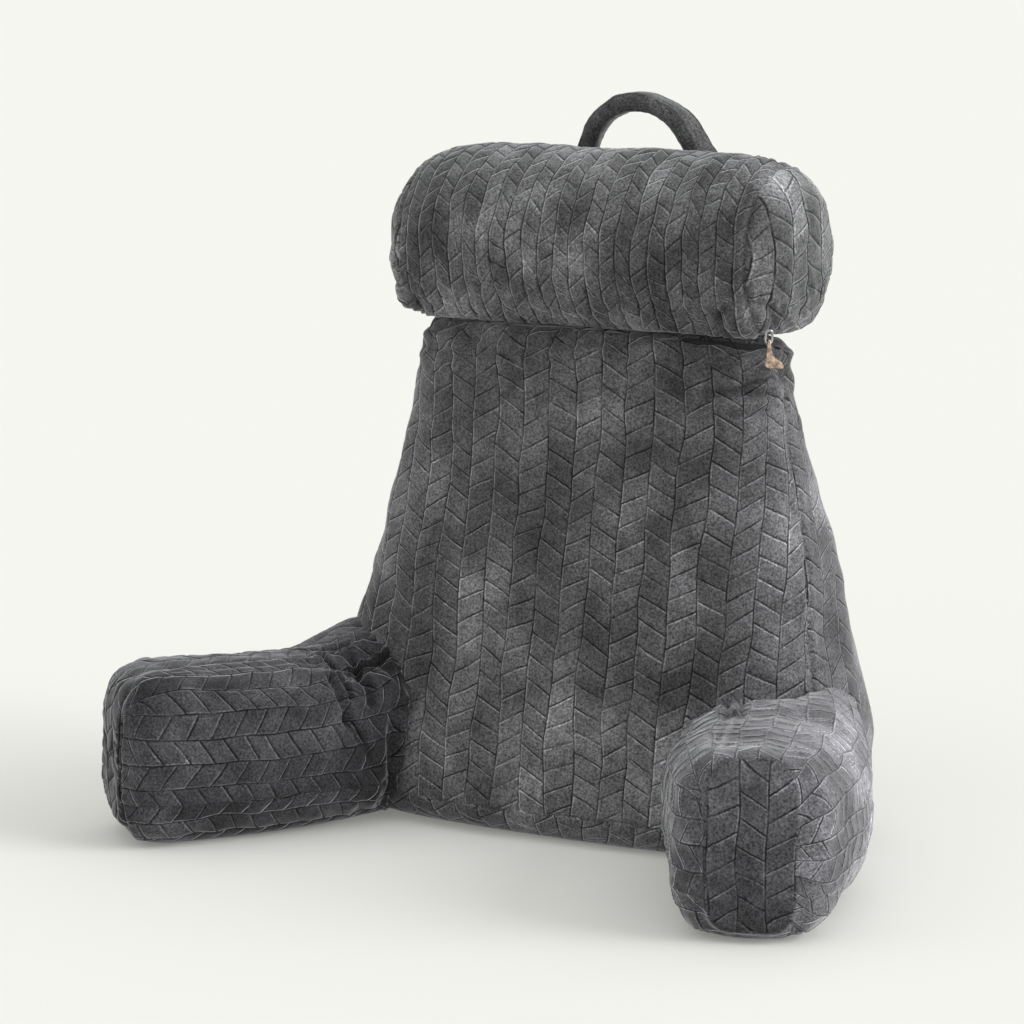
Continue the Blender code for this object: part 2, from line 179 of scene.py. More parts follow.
# ---- numbers
def smooth_table(xs, ys, x):
    """Monotone cubic interpolation through the given stations."""
    xs, ys, x = (np.asarray(a, float) for a in (xs, ys, x))
    steps = np.diff(xs)
    slopes = np.diff(ys) / steps
    tangents = np.zeros(len(xs))
    tangents[0] = slopes[0]
    tangents[-1] = slopes[-1]
    for i in range(1, len(xs) - 1):
        if slopes[i - 1] * slopes[i] > 0:
            w1 = 2 * steps[i] + steps[i - 1]
            w2 = steps[i] + 2 * steps[i - 1]
            tangents[i] = (w1 + w2) / (w1 / slopes[i - 1] + w2 / slopes[i])
    x = np.clip(x, xs[0], xs[-1])
    k = np.clip(np.searchsorted(xs, x, side="right") - 1, 0, len(xs) - 2)
    h = steps[k]
    t = (x - xs[k]) / h
    return ((1 + 2 * t) * (1 - t) ** 2 * ys[k] + t * (1 - t) ** 2 * h * tangents[k]
            + t * t * (3 - 2 * t) * ys[k + 1] + t * t * (t - 1) * h * tangents[k + 1])


def signed_power(value, exponent):
    return np.sign(value) * np.abs(value) ** exponent


def bell(distance, width):
    return np.exp(-(distance / width) ** 2)


def ramp(value, start, end):
    """0 before start, 1 after end, eased between."""
    t = np.clip((value - start) / (end - start), 0, 1)
    return t * t * (3 - 2 * t)


def wave_noise(points, size, seed, count=26):
    """Smooth noise of about unit spread, from seeded waves of about the given size."""
    rng = np.random.default_rng(seed)
    ways = rng.normal(size=(count, 3))
    ways *= (2 * math.pi / size * rng.uniform(0.55, 1.6, (count, 1))
             / np.linalg.norm(ways, axis=1)[:, None])
    phases = rng.uniform(0, 2 * math.pi, count)
    flat = points.reshape(-1, 3)
    total = np.zeros(len(flat))
    for way, phase in zip(ways, phases):
        total += np.cos(flat @ way + phase)
    return (total / math.sqrt(count / 2)).reshape(points.shape[:-1])


def distance(points, centre):
    return np.linalg.norm(points - np.array(centre), axis=-1)


def segment_distance(points, start, end):
    """Distance of each point from a straight segment."""
    start = np.asarray(start, float)
    way = np.asarray(end, float) - start
    t = np.clip(((points - start) @ way) / (way @ way), 0, 1)
    return np.linalg.norm(points - start - t[..., None] * way, axis=-1)


def line_distance(points, start, end):
    """Distance of each surface point from a line from start to end that is laid on the surface."""
    flat = points.reshape(-1, 3)
    laid = np.array([flat[((flat - at) ** 2).sum(1).argmin()] for at in np.linspace(start, end, 9)])
    laid[1:-1] = (laid[:-2] + 2 * laid[1:-1] + laid[2:]) / 4
    return np.min([segment_distance(points, a, b) for a, b in zip(laid, laid[1:])], axis=0)


def creases(points, table):
    """Relief of folds, and the painted shade down in them."""
    total = np.zeros(points.shape[:-1])
    shade = np.ones(points.shape[:-1])
    for start, end, depth, width in table:
        gap = line_distance(points, start, end)
        total += depth * (0.45 * bell(gap - 2.1 * width, 1.1 * width) - bell(gap, width))
        shade *= 1 - min(0.5, 75 * depth) * bell(gap, 1.3 * width)
    return total, shade


def outline(squareness, fine=6001):
    """Dense superellipse from its lowest point (0, -1), counter-clockwise, once round."""
    angle = np.linspace(-math.pi / 2, 1.5 * math.pi, fine)
    x = signed_power(np.cos(angle), 2 / squareness)
    y = signed_power(np.sin(angle), 2 / squareness)
    return x, y


def run_of(line):
    """Length along a polyline at each of its points."""
    return np.concatenate([[0], np.cumsum(np.linalg.norm(np.diff(line, axis=0), axis=1))])


def run_of_plane(x, y):
    """The same for a line in a plane."""
    return np.concatenate([[0], np.cumsum(np.hypot(np.diff(x), np.diff(y)))])


def resample(line, count):
    """Points evenly spaced along a polyline."""
    length = run_of(line)
    wanted = np.linspace(0, length[-1], count)
    return np.stack([np.interp(wanted, length, line[:, k]) for k in range(line.shape[1])], -1)


# ---- fabric and meshes
@dataclass
class Panel:
    """One cut piece of cover: its fabric coordinates over the whole grid, and its chevron's size."""

    u: np.ndarray
    v: np.ndarray
    column: float = 1.0
    pitch: float = 1.0

    def relief(self):
        """Relief of the embossed chevron: flat cells with narrow grooves between them."""
        across = np.abs(self.u - np.round(self.u)) * self.column
        zigzag = 1 - np.abs(1 - np.mod(self.u, 2))
        climb = self.v + LEAN * zigzag + 0.5 * (np.mod(self.u, 2) >= 1)
        slope = math.cos(math.atan(LEAN * self.pitch / self.column))
        along = np.abs(climb - np.round(climb)) * self.pitch * slope
        nearest = np.minimum(across, along)
        puff = 0.35 * np.clip(nearest / (0.3 * self.pitch), 0, 1)
        return RELIEF * (puff - np.exp(-(nearest / GROOVE) ** 2))


def panel_relief(panels, choice, seam_gap):
    """Relief of the panel chosen at each point of the grid, fading out at the seams."""
    result = np.zeros(choice.shape)
    for k, panel in enumerate(panels):
        result = np.where(choice == k, panel.relief(), result)
    return result[:, :-1] * (1 - bell(seam_gap, SEAM_BARE))


def wrap(field):
    """Repeat the first column after the last."""
    return np.concatenate([field, field[:, :1]], axis=1)


def raised(grid, height):
    """A grid whose second direction closes on itself, moved out along its normals."""
    down = np.gradient(grid, axis=0)
    wide = np.roll(grid, -1, axis=1) - np.roll(grid, 1, axis=1)
    normal = np.cross(wide, down)
    normal /= np.linalg.norm(normal, axis=2)[..., None] + 1e-12
    return grid + normal * height[..., None]


def link(name, data):
    item = bpy.data.objects.new(name, data)
    bpy.context.collection.objects.link(item)
    return item


def smooth_piece(name, data, material):
    data.materials.append(material)
    data.update()
    data.shade_smooth()
    return link(name, data)


def grid_object(name, grid, panels, choice, tone_and_painted_light, material):
    """Mesh from an n by m closed grid with both ends fanned to a point.

    panels and choice have one more column than the grid, so that coordinates carry over the join.
    """
    n, m = grid.shape[:2]
    rows, cols = (a.ravel() for a in np.meshgrid(np.arange(n - 1), np.arange(m), indexing="ij"))
    corners = [(rows, cols), (rows, cols + 1), (rows + 1, cols + 1), (rows + 1, cols)]
    quads = np.stack([r * m + c % m for r, c in corners], -1)
    points = np.concatenate([grid.reshape(-1, 3), grid[0].mean(0)[None], grid[-1].mean(0)[None]])
    ring = np.arange(m)
    after = (ring + 1) % m
    first = np.stack([after, ring, np.full(m, n * m)], -1)
    last = np.stack([(n - 1) * m + ring, (n - 1) * m + after, np.full(m, n * m + 1)], -1)
    data = bpy.data.meshes.new(name)
    data.from_pydata(points.tolist(), [], quads.tolist() + first.tolist() + last.tolist())
    value = sum(choice[r, c] for r, c in corners) / 4
    which = np.clip(np.round(value), 0, len(panels) - 1).astype(int)
    fabric = np.stack([np.stack([p.u, p.v], -1) for p in panels])
    uv = np.stack([fabric[which, r, c] for r, c in corners], 1).reshape(-1, 2)
    fans = []
    for row, order in ((0, (1, 0)), (n - 1, (0, 1))):
        side = fabric[int(round(float(np.median(choice[row])))), row]
        for c in range(m):
            fans += [side[c + order[0]], side[c + order[1]], side.mean(0)]
    uv = np.concatenate([uv, np.array(fans)])
    layer = data.uv_layers.new(name="fabric")
    layer.data.foreach_set("uv", uv.astype(np.float32).ravel())
    shade = data.attributes.new("tone_and_painted_light", "FLOAT", "POINT")
    values = np.concatenate([tone_and_painted_light.ravel(), [tone_and_painted_light[0].mean(), tone_and_painted_light[-1].mean()]])
    shade.data.foreach_set("value", values.astype(np.float32))
    return smooth_piece(name, data, material)


def tree_of(item):
    return BVHTree.FromPolygons([tuple(v.co) for v in item.data.vertices],
                                [tuple(p.vertices) for p in item.data.polygons])


# ---- materials
class Nodes:
    """Small helper that adds and links shader nodes."""

    def __init__(self, name):
        self.material = bpy.data.materials.new(name)
        self.material.use_nodes = True
        self.tree = self.material.node_tree

    def fill(self, node, inputs):
        """Link each input to a socket or set it to a number or colour."""
        for key, value in dict(inputs).items():
            if isinstance(value, bpy.types.NodeSocket):
                self.tree.links.new(value, node.inputs[key])
            else:
                node.inputs[key].default_value = value

    def add(self, kind, inputs=(), output=0, **settings):
        """One output of a new node with these inputs and settings."""
        node = self.tree.nodes.new("ShaderNode" + kind)
        for key, value in settings.items():
            setattr(node, key, value)
        self.fill(node, inputs)
        return node.outputs[output]

    def surface(self, inputs):
        self.fill(self.tree.nodes["Principled BSDF"], inputs)
        return self.material

    def place(self):
        return self.add("TexCoord", output="Object")

    def math(self, operation, *values):
        return self.add("Math", dict(enumerate(values)), operation=operation)

    def times(self, product, *others):
        for value in others:
            product = self.math("MULTIPLY", product, value)
        return product

    def scale_range(self, value, low, high, to_low, to_high, kind="SMOOTHSTEP"):
        return self.add("MapRange", {0: value, 1: low, 2: high, 3: to_low, 4: to_high},
                        interpolation_type=kind)

    def noise(self, vector, scale, detail, roughness, distortion=0.0):
        return self.add("TexNoise", {"Vector": vector, "Scale": scale, "Detail": detail,
                                     "Roughness": roughness, "Distortion": distortion})

    def tint(self, colour, factor):
        """A fixed colour times a varying factor."""
        return self.add("VectorMath", {0: colour, "Scale": factor}, operation="SCALE")

    def bump(self, strength, distance, height):
        return self.add("Bump", {"Strength": strength, "Distance": distance, "Height": height})


def velvet(name, colour, column, pitch, lip=(1, -1), embossed=True, slants=1.0, sheen=0.75):
    """Short-pile velvet: nap speckle, brushed patches, and fine grooves along the chevron.

    Each groove gets painted shade in its core and a painted highlight on a lip on one side of it, as
    light falling across the embossing would give.
    """
    n = Nodes(name)
    place = n.place()
    broad = n.scale_range(n.noise(place, 8.0, 3.0, 0.55, 0.6), 0.39, 0.63, 0.74, 1.28, "LINEAR")
    brushed_and_painted_light = n.scale_range(n.noise(place, 30.0, 4.0, 0.62, 0.9), 0.38, 0.64, 0.82, 1.20, "LINEAR")
    nap = n.scale_range(n.noise(place, 430.0, 3.0, 0.80), 0.36, 0.66, 0.36, 1.80, "LINEAR")
    # per-point colour factor: random nap lightness with painted light and painted shade
    tone_and_painted_light = n.add("Attribute", output="Fac", attribute_name="tone_and_painted_light")
    factor = n.times(broad, brushed_and_painted_light, nap, tone_and_painted_light)
    height = n.times(n.noise(place, 560.0, 2.0, 0.7), 0.45)
    if embossed:
        ragged = n.math("MULTIPLY_ADD", n.noise(place, 260.0, 2.0, 0.6), 1.3, -0.65)

        def groove(value, spread, share):
            """Distance in millimetres from the nearest groove of a set, and masks for the painted
            shade in its core and the painted highlight on its lip.
            """
            off = n.math("SUBTRACT", n.math("FRACT", n.math("ADD", value, 0.5)), 0.5)
            off = n.math("ADD", n.times(off, spread * 1000), ragged)
            gap = n.math("ABSOLUTE", off)
            beside = n.math("ABSOLUTE", n.math("SUBTRACT", off, 1.45))
            return gap, *(n.times(n.scale_range(reach, 0.25, 1.15, 1.0, 0.0), share)
                          for reach in (gap, beside))

        fabric = n.add("UVMap", uv_map="fabric")
        u, v = (n.add("SeparateXYZ", {0: fabric}, axis) for axis in (0, 1))
        odd = n.math("FLOOR", n.times(n.math("FRACT", n.times(u, 0.5)), 2.0))
        climb = n.math("MULTIPLY_ADD", n.math("PINGPONG", u, 1.0), LEAN, v)
        climb = n.math("MULTIPLY_ADD", odd, 0.5, climb)
        slope = math.cos(math.atan(LEAN * pitch / column))
        sets = groove(u, column * lip[0], 1.0), groove(climb, pitch * slope * lip[1], slants)
        nearest = n.math("MINIMUM", sets[0][0], sets[1][0])
        # painted shade down in the grooves and painted highlight on their lips
        groove_painted_shade = n.math("MAXIMUM", sets[0][1], sets[1][1])
        light = n.math("MAXIMUM", sets[0][2], sets[1][2])
        light = n.times(light, n.math("SUBTRACT", 1.0, groove_painted_shade))
        strength = n.scale_range(n.noise(place, 38.0, 2.0, 0.5), 0.32, 0.62, 0.30, 1.0)
        painted_highlight_patches = n.scale_range(n.noise(place, 24.0, 2.0, 0.5), 0.36, 0.66, 0.25, 1.0)
        painted_groove_light_and_shade = n.math("SUBTRACT", n.times(light, painted_highlight_patches, 1.25), n.times(groove_painted_shade, strength, 0.84))
        strip = n.math("FLOOR", u)
        along = n.add("CombineXYZ", {0: n.times(strip, 3.7), 1: n.times(v, 0.28)})
        streak = n.noise(along, 1.0, 2.0, 0.5)
        streak = n.scale_range(streak, 0.36, 0.64, 0.75, 1.27, "LINEAR")
        cell = n.add("CombineXYZ", {0: strip, 1: n.math("FLOOR", climb)})
        cell = n.add("TexWhiteNoise", {"Vector": cell})
        factor = n.times(factor, n.math("ADD", painted_groove_light_and_shade, 1.0), n.math("MULTIPLY_ADD", odd, 0.10, 0.95),
                         streak, n.math("MULTIPLY_ADD", cell, 0.18, 0.91))
        height = n.math("ADD", height, n.scale_range(nearest, 0.0, 1.8, -1.0, 0.0))
    return n.surface({
        "Base Color": n.tint(colour, factor), "Normal": n.bump(0.75, 0.0013, height),
        "Roughness": 0.92, "Specular IOR Level": 0.18, "Sheen Weight": sheen,
        "Sheen Roughness": 0.30, "Sheen Tint": (0.95, 0.96, 1.0, 1.0)})


def metal(name, colour, roughness, painted_shading_spread=(0.84, 1.10)):
    """Plated zip metal with fine wear in its gloss, and random patches of painted shade and painted
    light in its colour.
    """
    n = Nodes(name)
    place = n.place()
    wear = n.noise(place, 1400.0, 3.0, 0.6)
    # random patches of painted shade and painted light, over this spread
    factor = n.scale_range(n.noise(place, 170.0, 3.0, 0.6), 0.36, 0.64, *painted_shading_spread, "LINEAR")
    rough = n.scale_range(wear, 0.3, 0.7, roughness - 0.07, roughness + 0.12, "LINEAR")
    return n.surface({"Base Color": n.tint(colour, factor), "Roughness": rough,
                      "Normal": n.bump(0.15, 0.0002, wear), "Metallic": 0.85})


def tape_cloth(name, colour):
    """Close-woven zip tape."""
    n = Nodes(name)
    place = n.place()
    rib = n.add("TexWave", {"Vector": place, "Scale": 260.0, "Distortion": 0.6}, 1,
                bands_direction="DIAGONAL")
    factor = n.times(n.scale_range(rib, 0.0, 1.0, 0.7, 1.25, "LINEAR"),
                     n.scale_range(n.noise(place, 700.0, 2.0, 0.6), 0.3, 0.7, 0.8, 1.2, "LINEAR"))
    return n.surface({"Base Color": n.tint(colour, factor), "Normal": n.bump(0.4, 0.0003, rib),
                      "Roughness": 0.8})


# ---- zip
def zip_line(filling):
    """Middle, outward and upward directions along the zip, which lies on the filling."""
    stations = []
    for part in np.linspace(0, 1, 25):
        x, y = (a + (b - a) * part for a, b in zip(ZIP_START, ZIP_END))
        way = Vector((x, y, 0)).normalized()
        start = Vector((way.x, way.y, BACK_HEIGHT - 0.0080 - 0.0070 * part))
        hit, normal = filling.ray_cast(start, -way)[:2]
        stations.append((*(hit + normal * 0.0020), *normal))
    line = resample(np.array(stations), 140)
    ends = line[[0, -1]].copy()
    for _ in range(40):
        line[1:-1] = (line[:-2] + 2 * line[1:-1] + line[2:]) / 4
        line[[0, -1]] = ends
    middle = line[:, :3]
    out = line[:, 3:] / np.linalg.norm(line[:, 3:], axis=1)[:, None]
    up = np.array([0.0, 0.0, 1.0]) - out * out[:, 2:]
    up /= np.linalg.norm(up, axis=1)[:, None]
    return middle, out, up


def open_zip_bed(points, filling, zip_frame):
    """Fold the cover in beside the zip and round its stop; returns how far each point went in."""
    middle, out, up = zip_frame
    stop = tree_of(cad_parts["zip_stop"])
    near = np.all((points > middle.min(0) - 0.02) & (points < middle.max(0) + 0.02), axis=-1)
    drawn = np.zeros(points.shape[:2])
    for i, j in zip(*np.nonzero(near)):
        offset = points[i, j] - middle
        k = int(np.argmin((offset ** 2).sum(1)))
        across = abs(offset[k] @ up[k])
        beyond = math.sqrt(max(0.0, offset[k] @ offset[k] - across ** 2 - (offset[k] @ out[k]) ** 2))
        gap = math.hypot(across, beyond)
        point = Vector(points[i, j])
        share = 1 - min(ramp(gap, 0.0028, 0.0056), ramp(stop.find_nearest(point)[3], 0.0022, 0.0060))
        points[i, j] += out[k] * 0.0010 * bell(gap - 0.0078, 0.0022)
        if share > 0:
            place, normal = filling.find_nearest(point)[:2]
            points[i, j] = point.lerp(place - normal * 0.0006, share)
            drawn[i, j] = share
    return drawn


def build_zip_tape(zip_frame, material):
    """Tape of the zip: a thin woven strip with selvedges."""
    middle, out, up = zip_frame
    ox, oy = outline(5.0)
    m = 32
    wanted = np.arange(m) * (len(ox) - 1) // m
    across = ox[wanted] * ZIP_TAPE_WIDTH / 2
    thick = oy[wanted] * ZIP_TAPE_THICKNESS / 2 * (1 + 0.35 * bell(np.abs(across) - 0.0046, 0.0006))
    wave = 0.00015 * wave_noise(middle, 0.012, 81)
    grid = (middle[:, None] + up[:, None] * across[None, :, None]
            + out[:, None] * (thick[None, :] + wave[:, None])[..., None])
    zero = np.zeros((len(grid), m + 1))
    tone_and_painted_light = np.ones((len(grid), m))
    return grid_object("zip_tape_strip", grid, [Panel(zero, zero)], zero, tone_and_painted_light, material)


def build_zip_coil(zip_frame, material):
    """Teeth of the zip: rounded links from alternate sides, meeting along the middle of the tape."""
    run = run_of(zip_frame[0])
    size_up, size_out, size_along = 0.0022, 0.0011, TOOTH_STEP * 0.47
    points = []
    faces = []
    for number, at in enumerate(np.arange(0.002, run[-1] - 0.001, TOOTH_STEP)):
        centre, face, rise = (np.array([np.interp(at, run, v[:, k]) for k in range(3)])
                              for v in zip_frame)
        along = np.cross(face, rise)
        shift = 0.0007 if number % 2 else -0.0007
        first = len(points)
        for end in np.linspace(-1, 1, TOOTH_RINGS):
            ring = (1 - abs(end * 0.97) ** 4) ** 0.25
            for turn in np.arange(TOOTH_TURNS) * 2 * math.pi / TOOTH_TURNS:
                points.append(centre + face * (0.0010 + size_out * ring * math.cos(turn))
                              + rise * (shift + size_up * end)
                              + along * (size_along * ring * math.sin(turn)))
        for row in range(TOOTH_RINGS - 1):
            for k in range(TOOTH_TURNS):
                a = first + row * TOOTH_TURNS + k
                b = first + row * TOOTH_TURNS + (k + 1) % TOOTH_TURNS
                faces.append((a, b, b + TOOTH_TURNS, a + TOOTH_TURNS))
        faces.append(tuple(range(first, first + TOOTH_TURNS))[::-1])
        faces.append(tuple(range(len(points) - TOOTH_TURNS, len(points))))
    data = bpy.data.meshes.new("zip_coil")
    data.from_pydata([tuple(point) for point in points], [], faces)
    return smooth_piece("zip_coil", data, material)


# ---- backrest
def back_section(z):
    """Half width, front and rear of the backrest at a height."""
    level = np.clip(z / BACK_HEIGHT, 0, 1)
    half = smooth_table(BACK_LEVELS, BACK_HALF_WIDTHS, z)
    front = BACK_FRONT_LOW + (BACK_FRONT_HIGH - BACK_FRONT_LOW) * level
    front = front - BACK_CROWN * np.sin(math.pi * level)
    rear = smooth_table((0.0, 0.24, BACK_HEIGHT), BACK_REAR, z)
    return half, front, rear


def back_profile():
    """Height, inset and shrink of each row, from the middle of the underside to that of the top."""
    rows = [(0.0, BACK_EDGE, s) for s in np.linspace(0.02, 0.96, 7)]
    steps = int(BACK_EDGE * math.pi / 2 / BACK_FINE[1])
    for k in range(steps + 1):
        a = math.pi / 2 * k / steps
        rows.append((BACK_EDGE * (1 - math.cos(a)), BACK_EDGE * (1 - math.sin(a)), 1.0))
    top = BACK_HEIGHT - BACK_TOP_EDGE
    for z in np.linspace(BACK_EDGE, top, int((top - BACK_EDGE) / BACK_FINE[1]))[1:]:
        rows.append((float(z), 0.0, 1.0))
    steps = int(BACK_TOP_EDGE * math.pi / 2 / ZIP_FINE)
    for k in range(1, steps + 1):
        a = math.pi / 2 * k / steps
        rows.append((top + BACK_TOP_EDGE * math.sin(a), BACK_TOP_EDGE * (1 - math.cos(a)), 1.0))
    rows += [(BACK_HEIGHT, BACK_TOP_EDGE, s) for s in np.linspace(0.96, 0.02, 9)]
    return rows


def back_fractions():
    """Fractions round the outline, 0 at the front middle: fine near the front, coarse behind."""
    half, front, rear = back_section(0.25)
    length = 2 * (2 * half + (rear - front)) * 0.93
    fine = np.linspace(0, BACK_FINE_REACH, int(BACK_FINE_REACH / BACK_FINE[0]) + 1)
    count = int((length / 2 - BACK_FINE_REACH) / COARSE) + 1
    coarse = np.linspace(BACK_FINE_REACH, length / 2, count)[1:]
    side = np.concatenate([fine, coarse]) / length
    return np.concatenate([-side[:0:-1], side])[:-1]


def build_backrest(filling, zip_frame, material):
    ox, oy = outline(BACK_SQUARENESS)
    rows = back_profile()
    fractions = back_fractions()
    m = len(fractions)
    grid = np.zeros((len(rows), m, 3))
    around = np.zeros((len(rows), m + 1))  # length round the cover from the front middle
    total = np.zeros((len(rows), 1))
    heights = np.array([r[0] for r in rows])
    for i, (z, inset, shrink) in enumerate(rows):
        half, front, rear = back_section(z)
        deep = (rear - front) / 2
        x = (half - inset) * ox * shrink
        y = (rear + front) / 2 + (deep - inset) * oy * shrink
        length = run_of_plane(x, y)
        total[i] = run_of_plane(half * ox, deep * oy)[-1]
        wanted = np.mod(fractions, 1.0) * length[-1]
        grid[i, :, 0] = np.interp(wanted, length, x)
        grid[i, :, 1] = np.interp(wanted, length, y)
        grid[i, :, 2] = z
        around[i] = np.concatenate([fractions, [fractions[0] + 1.0]]) * total[i]
    climbs = [math.hypot(b[0] - a[0], (b[1] - a[1]) + (a[2] - b[2]) * 0.13)
              for a, b in zip(rows, rows[1:])]
    v = np.concatenate([[0], np.cumsum(climbs)])[:, None]
    near = np.abs(around)
    seam = smooth_table(FRONT_SEAM_LEVELS, FRONT_SEAM, heights)[:, None]
    rear_seam = total / 2 - smooth_table(BACK_LEVELS, BACK_HALF_WIDTHS, heights)[:, None] * REAR_SEAM
    z = np.repeat(heights[:, None], m + 1, 1)
    closed = wrap(grid)
    wobble_u = 0.05 * wave_noise(closed, 0.09, 11)
    wobble_v = 0.07 * wave_noise(closed, 0.12, 12)
    behind = np.where(around > 0, total / 2 - around, -total / 2 - around)
    panels = [
        Panel(wide / PANEL_COLUMN + column + wobble_u, v / PANEL_PITCH + pitch + wobble_v,
              PANEL_COLUMN, PANEL_PITCH)
        for wide, column, pitch in ((around, 40.5, 0.0), (near - seam, 20, 0.4), (behind, 60, 0.0),
                                    (around, 41.0, 0.5))
    ]
    panels[0].u += 0.35 * ramp(z, 0.40, BACK_HEIGHT)  # the front is pulled askew under the roll
    choice = np.zeros(z.shape)
    choice[near > seam] = 1
    choice[near > rear_seam] = 2
    choice[(z < BOTTOM_SEAM) & (near < rear_seam)] = 3

    seam_gap = np.minimum(np.abs(near - seam), np.abs(near - rear_seam))
    low_gap = np.where(near < rear_seam, np.abs(z - BOTTOM_SEAM), 1.0)
    upright = (z > BOTTOM_SEAM) & (z < BACK_HEIGHT - 0.01)
    seam_gap = np.minimum(np.where(upright, seam_gap, 1.0), low_gap)[:, :m]
    weight = np.where(low_gap[:, :m] <= seam_gap, 0.35, 1.0)
    near = near[:, :m]
    z = z[:, :m]
    height = panel_relief(panels, choice, seam_gap) * (1 - ramp(near, 0.30, BACK_FINE_REACH))
    pucker = 1 + 0.35 * wave_noise(grid, 0.016, 13)
    height += weight * (0.0009 * pucker * bell(seam_gap - 0.0075, 0.0042)
                        - 0.0028 * bell(seam_gap, 0.0026))
    height += 0.0018 * wave_noise(grid, 0.18, 14) + 0.0006 * wave_noise(grid, 0.05, 15)
    gather = ramp(z, 0.43, 0.50) * (1 - ramp(z, BACK_HEIGHT - 0.006, BACK_HEIGHT))
    height += 0.0022 * gather * wave_noise(grid * np.array([1.0, 1.0, 2.6]), 0.055, 16)
    folds, fold_shade = creases(grid, BACK_CREASES)
    start, end, radius, swell = BACK_FOLD
    fold_gap = segment_distance(grid, start, end) / radius
    full = ramp(grid[..., 0], start[0] - 0.006, start[0] + 0.024)
    height += folds + full * (swell * np.sqrt(np.clip(1 - fold_gap ** 2, 0, 1))
                              - 0.0020 * bell(fold_gap - 1.15, 0.18))
    moved = raised(grid, height * ramp(z, 0.0, FOOT_FADE))
    moved[..., 2] = np.clip(moved[..., 2], 0.0, BACK_HEIGHT)

    # random lightness of the nap, less painted shade down in the seams
    tone_and_painted_light = 1 + 0.12 * wave_noise(grid, 0.11, 17) - 0.35 * weight * bell(seam_gap, SEAM_SHADE)
    # painted shade under the roll, over the gathered band
    tone_and_painted_light *= 1 - 0.16 * gather
    # painted light: the sides of the backrest are lighter, where the light falls on them
    tone_and_painted_light *= 1 + 0.25 * ramp(near, 0.17, 0.27)
    # painted pool of light low on the front
    painted_light_low_front = bell(np.hypot(grid[..., 0] - 0.02, (z - 0.10) * 1.2), 0.13) * (grid[..., 1] < 0)
    tone_and_painted_light *= 1 + 0.42 * painted_light_low_front
    # painted shade in the creases and under the fold below the zip
    tone_and_painted_light *= fold_shade * (1 - 0.45 * full * bell(fold_gap - 1.12, 0.18))
    # painted shade where the cover is drawn in beside the zip
    tone_and_painted_light *= 1 - 0.55 * open_zip_bed(moved, filling, zip_frame)
    return grid_object("backrest_cover", moved, panels, choice, tone_and_painted_light, material)


# ---- arms
def arm_skeleton(side, shape):
    """Dense table along the arm: run, middle line, heading, half width and half height."""
    tip, tip_heading, bend_distance, root, widths = shape
    heading = math.radians(tip_heading)
    tip = np.array(tip)
    root = np.array(root)
    bend = tip - bend_distance * np.array([math.sin(heading), -math.cos(heading)])
    t = np.linspace(0, 1, 3000)[:, None]
    points = (1 - t) ** 2 * tip + 2 * t * (1 - t) * bend + t ** 2 * root
    along = 2 * (1 - t) * (bend - tip) + 2 * t * (root - bend)
    along /= np.linalg.norm(along, axis=1)[:, None]
    run = run_of(points)
    part = run / run[-1]
    rise = smooth_table(ARM_RISE_STATIONS, ARM_RISES, part)
    width = smooth_table((0.0, 0.45, 1.0), widths, part)
    return run, points * [side, 1], along * [side, 1], width, rise


def arm_rows(run_end):
    """Run and size of each ring, evenly spaced over the rounded end and along the arm."""
    angle = np.linspace(0.0, math.pi / 2, 4000)
    q = 1 - signed_power(np.cos(angle), 2 / ARM_CAP_SQUARENESS)
    size = signed_power(np.sin(angle), 2 / ARM_CAP_SQUARENESS)
    line = np.stack([q * ARM_CAP, size * ARM_CAP_SIZE], -1)
    cap = resample(line, int(run_of(line)[-1] / FINE))[1:]
    body = np.linspace(ARM_CAP, run_end, int((run_end - ARM_CAP) / FINE))[1:]
    return (np.concatenate([cap[:, 0], body]),
            np.concatenate([cap[:, 1] / ARM_CAP_SIZE, np.ones(len(body))]))


def end_at_backrest(grid, runs, tree):
    """Stretch each line of the grid so that it ends just inside the backrest; returns the runs."""
    m = grid.shape[1]
    reach = np.full(m, runs[-1])
    for j in range(m):
        for i in range(60, len(runs) - 1):
            a = Vector(grid[i, j])
            step = Vector(grid[i + 1, j]) - a
            hit = tree.ray_cast(a, step.normalized(), step.length)
            if hit[0] is not None:
                reach[j] = runs[i] + (runs[i + 1] - runs[i]) * hit[3] / step.length
                break
    for _ in range(3):
        reach = (np.roll(reach, 1) + 2 * reach + np.roll(reach, -1)) / 4
    reach += 0.0030
    first = np.count_nonzero(runs < 0.09)
    run_at = np.zeros(grid.shape[:2])
    for j in range(m):
        tail = np.linspace(runs[first - 1], reach[j], len(runs) - first + 1)[1:]
        run_at[:, j] = np.concatenate([runs[:first], tail])
        for k in range(3):
            grid[:, j, k] = np.interp(run_at[:, j], runs, grid[:, j, k])
    return reach, run_at, first


def in_order(keep, place, turn):
    """Outline coordinate against turn for the part that is kept, in rising order."""
    order = np.argsort(place[keep])
    return place[keep][order], turn[keep][order]


def close_root(moved, tree):
    """Rings that close an arm's root and follow the backrest."""
    rings = [moved]
    middle = moved[-1].mean(0)
    for share in (0.75, 0.5, 0.25, 0.03):
        ring = np.zeros((1, moved.shape[1], 3))
        for j, point in enumerate(moved[-1]):
            hit = tree.find_nearest(Vector(middle + (point - middle) * share))
            ring[0, j] = hit[0] + hit[1] * 0.0006
        ring[..., 2] = np.maximum(ring[..., 2], 0.0)
        rings.append(ring)
    return np.concatenate(rings)


